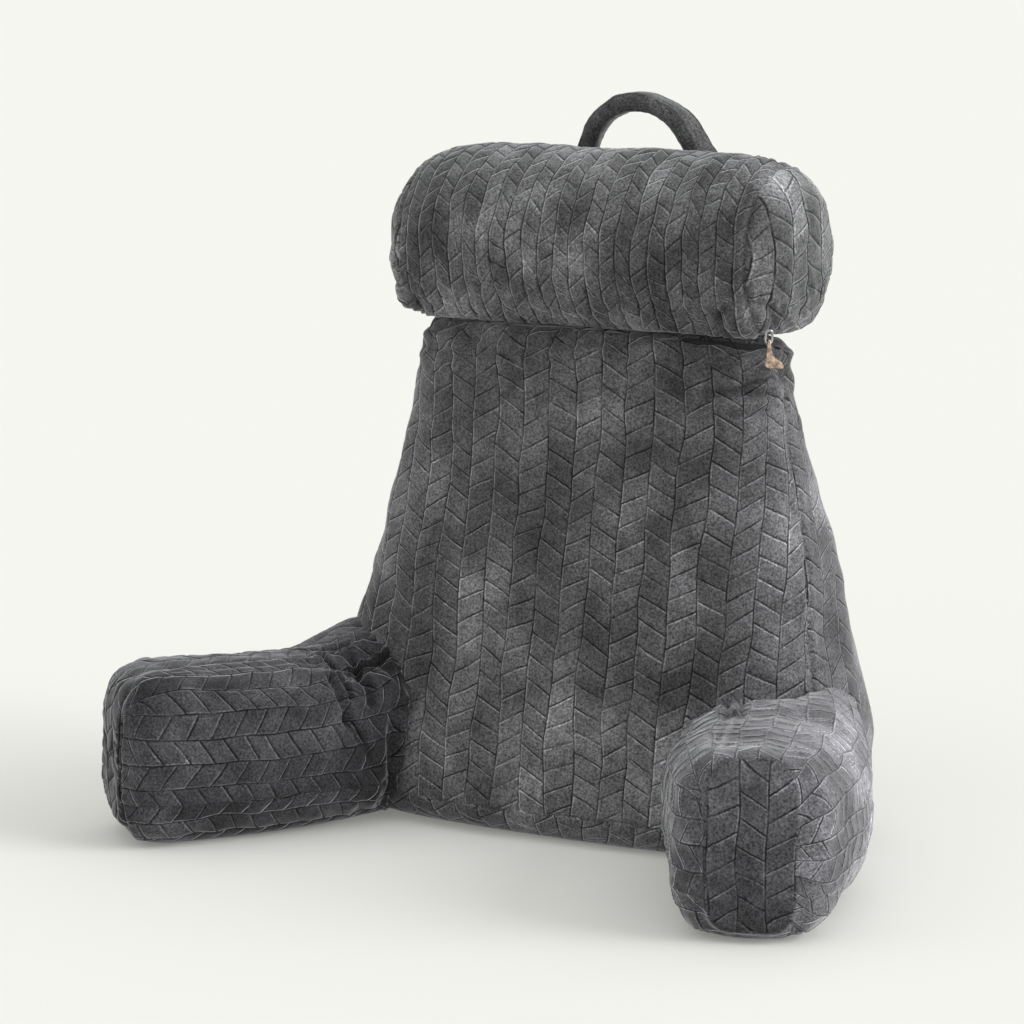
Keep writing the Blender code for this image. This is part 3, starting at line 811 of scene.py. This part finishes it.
def build_arm(name, side, shape, folds, hollow, sweep, brushed_and_painted_light, end_shade, tree, material, seed):
    """One arm.

    sweep: how far the top of the root rises, over what reach, the size of the ripples there and the
    lift of the whole top.  brushed_and_painted_light: painted light on the outer side and the top,
    and painted shade on the top at the joint.
    """
    run, points, along, width, rise = arm_skeleton(side, shape)
    runs, sizes = arm_rows(run[-1])
    centre = np.stack([np.interp(runs, run, points[:, k]) for k in (0, 1)], -1)
    way = np.stack([np.interp(runs, run, along[:, k]) for k in (0, 1)], -1)
    half = (np.interp(runs, run, width) * sizes)[:, None]
    tall = (np.interp(runs, run, rise) * sizes)[:, None]
    middle = np.interp(runs, run, rise)[:, None]
    # outline from the outer middle, over the foot, the inner side and the top, and back
    ox, oz = outline(ARM_SQUARENESS)
    length = run_of_plane(ox, oz)
    m = int(0.56 / FINE)
    part = np.arange(m + 1) / m
    start = np.interp(math.pi / 2, np.linspace(0, 2 * math.pi, len(length)), length)
    wanted = np.mod(part * length[-1] + start, length[-1])
    cu = np.interp(wanted, length, ox)
    cv = np.interp(wanted, length, oz)
    outer = np.stack([way[:, 1], -way[:, 0]], -1) * side  # points away from the seat
    grid = np.zeros((len(runs), m, 3))
    for k in (0, 1):
        grid[..., k] = centre[:, None, k] + outer[:, None, k] * half * cu[:m]
    grid[..., 2] = np.maximum(0.0, middle - 0.003 + tall * cv[:m])
    reach, run_at, first = end_at_backrest(grid, runs, tree)

    run_wrapped = wrap(run_at)
    girth = run_of_plane(ox * 0.09, oz * 0.088)[-1]
    full_turn = (part - 0.5) * girth  # 0 at the inner middle, rising with height there
    lateral = half * cu
    level = wrap(grid)[..., 2]
    middle_level = np.interp(run_wrapped, run, rise)
    # over the rounded end the columns carry on straight instead of closing in on the middle
    across, above_middle = sizes[:, None] * cu, sizes[:, None] * cv
    by_side = np.where(cu < 0, np.interp(above_middle, *in_order(cu < 0, cv, full_turn)),
                       np.interp(above_middle, *in_order(cu > 0, cv, full_turn)))
    by_top = np.interp(across, *in_order(cv > 0, cu, full_turn))
    share = ramp(np.abs(cu) - np.abs(cv), -0.25, 0.25)
    turn = np.where(cv > 0, share * by_side + (1 - share) * by_top, by_side)
    turn = np.where((sizes < 0.999)[:, None] & (cu < 0.6), turn, full_turn)
    meridian = run_of_plane(runs, sizes * ARM_CAP_SIZE)
    forward = run_wrapped + (meridian[-1] - runs[-1])
    forward[:first] = meridian[:first, None]
    wobble_u = 0.05 * wave_noise(wrap(grid), 0.08, seed)
    wobble_v = 0.07 * wave_noise(wrap(grid), 0.10, seed + 1)
    panels = [
        Panel(wide / column + shift + wobble_u, run_up / pitch + lead + wobble_v, column, pitch)
        for wide, run_up, column, pitch, shift, lead in (
            (turn, forward, ARM_COLUMN, ARM_PITCH, 30.2, 0.0),
            (lateral, level, END_COLUMN, END_PITCH, 30.45, 0.0),
            (turn, forward, ARM_COLUMN, ARM_PITCH, 30.7, 0.5))
    ]
    oval = ((np.abs(lateral) / END_PANEL[0]) ** END_SQUARENESS
            + (np.abs(level - middle_level - 0.002) / END_PANEL[1]) ** END_SQUARENESS)
    oval = oval ** (1 / END_SQUARENESS) - 1
    outside = np.where(run_wrapped < 0.055, oval * END_PANEL[0], 0.03)
    choice = np.zeros(level.shape)
    choice[level < ARM_LOW_SEAM] = 2
    choice[outside < 0] = 1
    top_seam = smooth_table((0.0, 0.05, 0.19, 0.30, 0.60), (0.032, 0.032, 0.032, 0.052, 0.056),
                            run_wrapped)
    top_gap = np.where((level > middle_level) & (outside >= 0), np.abs(lateral + top_seam), 1.0)
    top_gap = top_gap[:, :m]
    low_gap = np.where(outside >= 0, np.abs(level - ARM_LOW_SEAM), 1.0)[:, :m]
    seam_gap = np.minimum(np.minimum(np.abs(outside)[:, :m], low_gap), top_gap)
    cu = cu[:m]
    cv = cv[:m]
    left = reach - run_at  # what is left of each line before the backrest
    weight = np.where(top_gap <= seam_gap, 0.3 + 0.9 * ramp(-left, -0.15, -0.02), 1.0)
    weight = np.where(low_gap <= seam_gap, 0.4, weight) * (1 - 0.7 * ramp(cu, 0.4, 0.9))
    weight *= 1 - 0.6 * ramp(cv, 0.6, 0.95) * (run_at < 0.055)
    pucker = 1 + 0.5 * wave_noise(grid, 0.013, seed + 2)
    height = panel_relief(panels, choice, seam_gap)
    height += weight * (0.0014 * pucker * bell(seam_gap - 0.0065, 0.0036)
                        - 0.0028 * bell(seam_gap, 0.0024))
    height += 0.0015 * wave_noise(grid, 0.13, seed + 3) + 0.0006 * wave_noise(grid, 0.04, seed + 4)
    inner = ramp(-cu, -0.1, 0.6)
    above = ramp(cv, 0.45, 0.9)
    across = turn[:, :m]
    rippled = np.stack([across * 0.40, left + across * 0.25, np.zeros(left.shape)], -1)
    height += (sweep[2] * bell(left - 0.015, 0.045) * (0.12 + 0.88 * inner)
               * wave_noise(rippled, 0.026, seed + 5))
    lines, line_shade = creases(grid, folds)
    height += lines + above * (sweep[0] * np.exp(-np.abs(left) / sweep[1]) + sweep[3])
    hollowed = hollow[2] * bell(distance(grid, hollow[0]), hollow[1])
    height -= hollowed
    height += inner * (0.0020 * pucker * bell(left - 0.010, 0.0035)
                       - 0.0020 * bell(left - 0.017, 0.0028) - 0.0030 * bell(left, 0.004))
    moved = raised(grid, height * ramp(grid[..., 2], 0.0, FOOT_FADE))
    moved[..., 2] = np.maximum(moved[..., 2], 0.0)

    # random lightness of the nap, less painted shade down in the seams
    tone_and_painted_light = 1 + 0.10 * wave_noise(grid, 0.09, seed + 6) - 0.35 * weight * bell(seam_gap, SEAM_SHADE)
    # painted shade on the inner side at the joint with the backrest
    tone_and_painted_light *= (1 - 0.35 * inner * bell(left, 0.006)) * (1 - 0.38 * inner * bell(left - 0.02, 0.045))
    tone_and_painted_light *= 1 - end_shade * (choice[:, :m] == 1)
    # painted light and shade: the outer side and the top lighter, more so away from the end, and the
    # inner side darker
    behind_end = 0.25 + 0.75 * ramp(run_at, 0.025, 0.120)
    tone_and_painted_light *= 1 + brushed_and_painted_light[0] * behind_end * ramp(cu, -0.1, 0.9) + brushed_and_painted_light[1] * above - 0.10 * inner
    # painted shade in the creases, in the hollow and on the top at the joint
    tone_and_painted_light *= line_shade * (1 - 26 * hollowed) * (1 - brushed_and_painted_light[2] * above * bell(left, 0.030))
    moved = close_root(moved, tree)
    more = ((0, len(moved) - len(tone_and_painted_light)), (0, 0))
    tone_and_painted_light, choice = (np.pad(field, more, "edge") for field in (tone_and_painted_light, choice))
    for panel in panels:
        panel.u, panel.v = (np.pad(field, more, "edge") for field in (panel.u, panel.v))
    return grid_object(name, moved, panels, choice, tone_and_painted_light, material)


# ---- neck roll
def lobe_rim(points, centre):
    """Where a lobe folds under: 1 below it and towards the middle of the roll, little above it."""
    toward = (centre[0] - points[..., 0]) * np.sign(centre[0]) + centre[2] - points[..., 2]
    return 0.15 + 0.85 * ramp(toward, -0.004, 0.018)


def build_roll(material):
    s = np.linspace(-1, 1, 20001)
    radius = ROLL_RADIUS * np.clip(1 - np.abs(s) ** ROLL_SQUARENESS, 0, 1) ** (2 / ROLL_SQUARENESS)
    line = np.stack([s * ROLL_HALF_LENGTH, radius], -1)
    count = int(run_of(line)[-1] / FINE)
    line = resample(line, count + 2)[1:-1]
    x = line[:, :1]
    radius = line[:, 1:]
    m = int(2 * math.pi * ROLL_RADIUS / FINE)
    angle = 2 * math.pi * np.arange(m + 1) / m - 1.15  # the join runs along the hidden underside
    grid = np.zeros((count, m, 3))
    grid[..., 0] = x
    grid[..., 1] = ROLL_Y + radius * np.cos(angle[:m])
    grid[..., 2] = ROLL_Z + radius * np.sin(angle[:m])
    z = grid[..., 2]
    closed = wrap(grid)
    wobble_u = 0.06 * wave_noise(closed, 0.07, 31)
    wobble_v = 0.10 * wave_noise(closed, 0.09, 32)
    tube = Panel(x / ROLL_COLUMN + 40.5 + wobble_u, -angle * ROLL_RADIUS / ROLL_PITCH + wobble_v,
                 ROLL_COLUMN, ROLL_PITCH)
    meridian = run_of(line)[:, None]
    from_end = np.minimum(meridian, meridian[-1] - meridian)
    disc = Panel(from_end * np.cos(angle) / DISC_COLUMN + 20.3 + wobble_u,
                 from_end * np.sin(angle) / PANEL_PITCH + 10 + wobble_v, DISC_COLUMN, PANEL_PITCH)
    disc.u = np.where(x < 0, -disc.u, disc.u)
    choice = np.repeat((np.abs(x) > ROLL_SEAM).astype(float), m + 1, 1)
    seam_gap = np.repeat(np.abs(np.abs(x) - ROLL_SEAM), m, 1)
    height = panel_relief([tube, disc], choice, seam_gap)
    pucker = 1 + 0.5 * wave_noise(grid, 0.013, 33)
    lively = 0.35 + 0.65 * ramp(-grid[..., 1], 0.02, 0.07) * ramp(-z, -0.62, -0.58)
    height += (0.0019 * lively * pucker * bell(seam_gap - 0.0060, 0.0030)
               - 0.0024 * bell(seam_gap, 0.0022))
    height += 0.0011 * wave_noise(grid, 0.14, 34) + 0.0006 * wave_noise(grid, 0.045, 35)
    low = np.clip(ramp(-z, -0.60, -0.53) + 0.8 * bell(x - 0.175, 0.022), 0, 1)
    height += 0.0010 * low * wave_noise(grid * np.array([1.0, 0.45, 0.45]), 0.011, 37)
    # random lightness of the nap, less painted shade down in the seams
    tone_and_painted_light = 1 + 0.14 * wave_noise(grid, 0.08, 36) - 0.3 * bell(seam_gap, SEAM_SHADE)
    # a darker band just inside the right seam, and painted light on the end discs
    tone_and_painted_light *= 1 - 0.22 * bell(x - 0.183, 0.011) + 0.28 * choice[:, :m]
    # painted light on the top of the roll
    tone_and_painted_light *= 1 + 0.28 * ramp(z, ROLL_Z + 0.03, ROLL_Z + 0.09)
    # painted light on the underside of the roll
    tone_and_painted_light *= 1 + 0.28 * ramp(-z, -ROLL_Z + 0.02, -ROLL_Z + 0.07)
    for centre, size, swell in ROLL_LOBES:
        gap = distance(grid, centre)
        rim = lobe_rim(grid, centre)
        height += swell * np.clip(1 - (gap / size) ** 2, 0, 1) ** 0.6
        height -= 0.30 * swell * bell(gap - 1.12 * size, 0.0034) * rim
        # painted shade where the lobe folds under
        tone_and_painted_light *= 1 - 30 * swell * bell(gap - 1.06 * size, 0.0040) * rim
    moved = raised(grid, height)
    # rest softly on the backrest, with the lobes hanging over its edge
    seat = BACK_HEIGHT + 0.0008
    for centre, size, swell in ROLL_LOBES:
        gap = distance(moved, centre)
        seat = seat - 1.5 * swell * bell(gap, 1.3 * size) * ramp(-moved[..., 1], 0.030, 0.050)
    lift = moved[..., 2] - seat
    soft = 0.003
    pressed = soft * np.log1p(np.exp(np.clip(lift / soft, -40, 40)))
    moved[..., 2] = seat + np.where(lift > 6 * soft, lift, pressed)
    return grid_object("neck_roll_cover", moved, [tube, disc], choice, tone_and_painted_light, material)


# ---- carry handle
def strap_path(filling):
    """Middle, twist in degrees and thickness along the strap, from foot to foot."""
    def foot_y(z):
        near = max(filling.ray_cast(Vector((side * STRAP_LEG + STRAP_SHIFT + dx, 1.0, z)),
                                    Vector((0, -1, 0)))[0].y
                   for side in (-1, 1) for dx in (-STRAP_WIDTH / 2, 0.0, STRAP_WIDTH / 2))
        return near + STRAP_SEWN_THICKNESS / 2 + 0.0008

    sewn = STRAP_SEWN_THICKNESS
    roll_rear = ROLL_Y + ROLL_RADIUS + 0.0004
    stations = [
        (0.00, STRAP_LEG, foot_y(STRAP_FOOT), STRAP_FOOT, 0, sewn),
        (0.09, STRAP_LEG, foot_y(STRAP_FOOT + 0.022), STRAP_FOOT + 0.022, 0, sewn),
        (0.18, STRAP_LEG, foot_y(STRAP_FOOT + 0.044) + 0.0006, STRAP_FOOT + 0.044, 0, sewn),
        (0.34, STRAP_LEG, foot_y(STRAP_FOOT + 0.066) + 0.012, STRAP_FOOT + 0.088, 5, 0.012),
        (0.52, STRAP_LEG, roll_rear + 0.0120, 0.545, 25, 0.015),
        (0.70, 0.065, roll_rear + 0.0160, 0.600, 60, 0.018),
        (0.90, STRAP_HALF_SPAN + 0.002, roll_rear + 0.0080, 0.645, 62, STRAP_THICKNESS),
    ]
    for step in range(1, 8):
        angle = math.radians(90 * step / 7)
        rise = math.sin(angle)
        stations.append((0.90 + 0.058 * step, STRAP_HALF_SPAN * math.cos(angle),
                         roll_rear - 0.001 - 0.012 * rise,
                         STRAP_SPRING + (STRAP_TOP - STRAP_SPRING) * rise,
                         90 - 26 * (1 - rise), STRAP_THICKNESS))
    table = np.array(stations, float)
    wanted = np.linspace(table[0, 0], table[-1, 0], 150)
    half_path = np.array([smooth_table(table[:, 0], table[:, k], wanted) for k in range(1, 6)]).T
    half_path[:, 0] += 0.005 * bell(half_path[:, 2] - STRAP_FLARE, 0.022)
    far = half_path[:-1][::-1].copy()
    far[:, 0] *= -1
    far[:, 3] = 180 - far[:, 3]
    half_path[:, 3] += 2 * (90 - half_path[:, 3]) * ramp(half_path[:, 2], 0.600, STRAP_FLARE)
    return np.concatenate([half_path, far])


def build_handle(filling, material):
    path = strap_path(filling)
    count = len(path)
    m = 48
    ox, oy = outline(3.0)
    length = run_of_plane(ox * 15, oy * 9)
    wanted = np.arange(m) / m * length[-1]
    cu = np.interp(wanted, length, ox)
    cv = np.interp(wanted, length, oy)
    half = STRAP_WIDTH / 2
    grid = np.zeros((count, m, 3))
    for k, (x, y, z, twist, thick) in enumerate(path):
        way = Vector(path[min(count - 1, k + 1), :3] - path[max(0, k - 1), :3]).normalized()
        outward = Vector((0, 1, 0))
        outward = (outward - way * outward.dot(way)).normalized()
        sideways = way.cross(outward)
        turn = math.radians(twist)
        wide = np.array(sideways * math.cos(turn) + outward * math.sin(turn))
        thin = np.array(outward * math.cos(turn) - sideways * math.sin(turn))
        end = min(k, count - 1 - k)
        close = (1 - 0.5 * max(0.0, 1 - end / 3) ** 2) * (1 + 0.26 * bell(z - STRAP_FLARE, 0.030))
        grid[k] = (np.array([x + STRAP_SHIFT, y, z]) + wide * (half * cu[:, None] * close)
                   + thin * (thick / 2 * cv[:, None] * close))
    run = run_of(path[:, :3])[:, None]
    ends = np.minimum(run, run[-1] - run)
    edge = np.abs(np.abs(cu) - 0.70) * half
    folded = np.stack(np.broadcast_arrays(run, cu * 0.010, cv * 0.004), -1)
    height = 0.0006 * bell(edge - 0.0030, 0.0016) - 0.0011 * bell(edge, 0.0012)
    height = height + 0.0005 * wave_noise(folded, 0.045, 41) + 0.0002 * wave_noise(folded, 0.012, 42)
    # a crossed box of stitches at each foot
    box = np.minimum(np.abs(ends - 0.006), np.abs(ends - 0.036))
    cross = np.abs(np.abs(cu) * 0.012 - np.abs(ends - 0.021) * 0.8)
    stitches = 0.0010 * bell(np.minimum(box, cross), 0.0011)
    height = np.where(ends < 0.040, height * 0.4 - stitches, height)
    zero = np.zeros((count, m + 1))
    # random lightness, less painted shade down in the stitched grooves along the edges
    tone_and_painted_light = 1 + 0.10 * wave_noise(grid, 0.03, 43) - 0.25 * bell(edge, 0.0012)
    return grid_object("carry_handle_strap", raised(grid, height), [Panel(zero, zero)], zero, tone_and_painted_light,
                       material)


# ---- camera, light and stage
def place_camera():
    data = bpy.data.cameras.new("camera")
    data.lens = VIEW_LENS
    data.sensor_width = 36
    data.clip_end = 200
    camera = link("camera", data)
    camera.rotation_euler = (math.radians(90 - VIEW_RISE), 0, math.radians(VIEW_TURN))
    back = camera.rotation_euler.to_matrix() @ Vector((-VIEW_LEFT, 0, VIEW_DISTANCE))
    camera.location = back + Vector((0, 0, VIEW_HEIGHT))
    bpy.context.scene.camera = camera


def stage_object(name, points, faces, surface):
    data = bpy.data.meshes.new(name)
    data.from_pydata(points, [], faces)
    data.materials.append(Nodes("studio_" + name).surface(surface))
    item = link(name, data)
    item.location.z = FLOOR_LEVEL
    return item


def build_stage():
    world = bpy.data.worlds.new("studio")
    world.use_nodes = True
    sky = world.node_tree.nodes["Background"].inputs
    sky[0].default_value = (0.985, 1.0, 0.955, 1)
    sky[1].default_value = 0.55
    scene = bpy.context.scene
    scene.world = world
    scene.view_settings.view_transform = "Standard"
    scene.view_settings.look = "None"
    for name, way, power, spread in LIGHTS:
        light = bpy.data.lights.new(name, "SUN")
        light.energy = power
        light.angle = math.radians(spread)
        link(name, light).rotation_euler = Vector(way).to_track_quat("Z", "Y").to_euler()

    corners = [(x * FLOOR_HALF, y * FLOOR_HALF, 0) for x, y in ((-1, -1), (1, -1), (1, 1), (-1, 1))]
    floor = stage_object("floor", corners, [(0, 1, 2, 3)], {
        "Base Color": (0.657, 0.653, 0.634, 1.0), "Emission Color": (1.0, 1.01, 0.955, 1.0),
        "Emission Strength": 0.17, "Roughness": 0.9, "Specular IOR Level": 0.1})
    # far wall in the floor's own tone, seen in low views only; it sheds no light on the object
    ring = range(WALL_SIDES)
    turns = [2 * math.pi * k / WALL_SIDES for k in ring]
    wall = stage_object(
        "far_wall",
        [(WALL_REACH * math.cos(t), WALL_REACH * math.sin(t), z)
         for z in (0, WALL_HEIGHT) for t in turns],
        [(k, (k + 1) % WALL_SIDES, (k + 1) % WALL_SIDES + WALL_SIDES, k + WALL_SIDES) for k in ring],
        {"Base Color": (0, 0, 0, 1), "Specular IOR Level": 0.0,
         "Emission Color": (0.922, 0.922, 0.880, 1), "Emission Strength": 1.0})
    wall.visible_diffuse = wall.visible_glossy = wall.visible_shadow = False


# ---- assembly
def place(piece, node, slot_name, fill=None):
    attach(piece, "root")
    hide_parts(node)


def main():
    place_camera()
    build_stage()
    filling = tree_of(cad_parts["backrest"])
    zip_frame = zip_line(filling)
    back = build_backrest(filling, zip_frame, velvet("velvet_backrest", (0.096, 0.095, 0.101),
                                                     PANEL_COLUMN, PANEL_PITCH))
    place(back, "backrest", "velvet_backrest", 0.9)
    tree = tree_of(back)
    # the left arm's darker colour is a painted-shade copy of the arm velvet, the right arm's lighter
    # colour painted light
    for name, side, colour, sheen, seed, *settings in (
        ("left", -1, (0.056, 0.055, 0.061), 0.75, 51, ARM_LEFT, LEFT_CREASES, LEFT_HOLLOW,
         (-0.009, 0.040, 0.0036, 0.0028), (0.25, 0.10, 0.20), 0.30),
        ("right", 1, (0.079, 0.077, 0.085), 1.0, 71, ARM_RIGHT, RIGHT_CREASES, RIGHT_HOLLOW,
         (0.030, 0.028, 0.0024, 0.0), (1.30, 0.34, 0.42), 0.20),
    ):
        node = "arm_" + name
        cloth = velvet("velvet_" + node, colour, ARM_COLUMN, ARM_PITCH, (-1, -1), sheen=sheen)
        arm = build_arm(node + "_cover", side, *settings, tree, cloth, seed)
        place(arm, node, "velvet_" + node, 0.85)
    cloth = velvet("velvet_roll", (0.093, 0.093, 0.097), ROLL_COLUMN, ROLL_PITCH, slants=0.75)
    place(build_roll(cloth), "neck_roll", "velvet_roll", 0.85)
    cloth = velvet("velvet_handle", (0.078, 0.078, 0.081), 1, 1, embossed=False)
    place(build_handle(filling, cloth), "carry_handle", "velvet_handle", 0.7)
    tape = build_zip_tape(zip_frame, tape_cloth("zip_tape_cloth", (0.040, 0.040, 0.043)))
    place(tape, "zip_tape", "zip_tape_cloth")
    coil = build_zip_coil(zip_frame, tape_cloth("zip_coil_plastic", (0.060, 0.060, 0.064)))
    place(coil, "zip_tape", "zip_tape_cloth")
    for node, material in (
        ("zip_stop", metal("zip_stop_metal", (0.52, 0.53, 0.52), 0.34)),
        ("zip_slider", metal("zip_slider_metal", (0.46, 0.46, 0.47), 0.24, (0.55, 1.15))),
        ("zip_pull", metal("zip_pull_metal", (0.64, 0.48, 0.38), 0.24, (0.42, 1.20))),
    ):
        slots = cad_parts[node].data.materials
        slots.clear()
        slots.append(material)


main()
